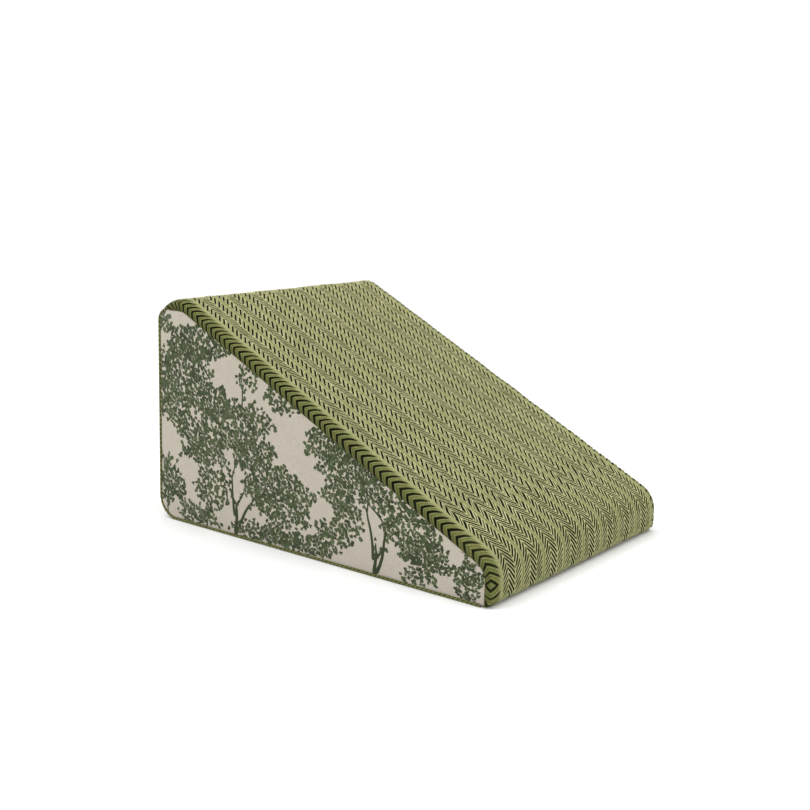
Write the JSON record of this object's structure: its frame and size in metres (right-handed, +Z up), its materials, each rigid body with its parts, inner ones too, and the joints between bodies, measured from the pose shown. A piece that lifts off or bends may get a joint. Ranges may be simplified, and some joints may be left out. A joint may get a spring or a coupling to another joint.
{
  "type": "dog ramp",
  "caption": "Foam wedge ramp for a small dog: zip-off sewn cover with chevron walking face, printed side panels, piped edges and non-slip base.",
  "frame": {"origin": "on the floor under the middle of the base, on the face of the middle non-slip dot", "axes": "+X along the length towards the low nose, +Y to the right of a dog climbing the ramp, +Z up; the tall back face looks along -X"},
  "size_m": [0.7045, 0.526, 0.3868],
  "materials": {
    "herringbone_fabric": "matte",
    "printed_linen": "matte",
    "base_fabric": "matte",
    "grip_rubber": "satin",
    "piping_fabric": "matte",
    "piping_filler": "matte",
    "liner_fabric": "matte",
    "firm_foam": "matte",
    "soft_foam": "matte",
    "zip_tape": "matte",
    "zip_coil": "satin",
    "zip_metal": "satin"
  },
  "bodies": {
    "ramp": {"slope_panel": "herringbone_fabric", "back_border": "herringbone_fabric", "back_panel": "herringbone_fabric", "left_side_panel": "printed_linen", "right_side_panel": "printed_linen", "base_panel": "base_fabric", "grip_backing": "grip_rubber", "left_welt_cover": "piping_fabric", "right_welt_cover": "piping_fabric", "left_welt_cord": "piping_filler", "right_welt_cord": "piping_filler", "inner_liner": "liner_fabric", "foam_base_wedge": "firm_foam", "foam_comfort_layer": "soft_foam", "zip_tape_outer": "zip_tape", "zip_tape_inner": "zip_tape", "zip_coil_outer": "zip_coil", "zip_coil_inner": "zip_coil", "zip_top_stops": "zip_metal", "zip_bottom_stop": "zip_metal"},
    "zip_slider": {"zip_slider": "zip_metal"},
    "zip_pull": {"zip_pull": "zip_metal"}
  },
  "joints": [
    {"name": "zip_travel", "type": "slide", "parent": "ramp", "child": "zip_slider", "axis": [0, 0, -1], "range_m": [0, 0.19]},
    {"name": "pull_swing", "type": "hinge", "parent": "zip_slider", "child": "zip_pull", "pos_m": [-0.35295, -0.229, 0.3107], "axis": [0, 1, 0], "range_deg": [0, 175]}
  ]
}
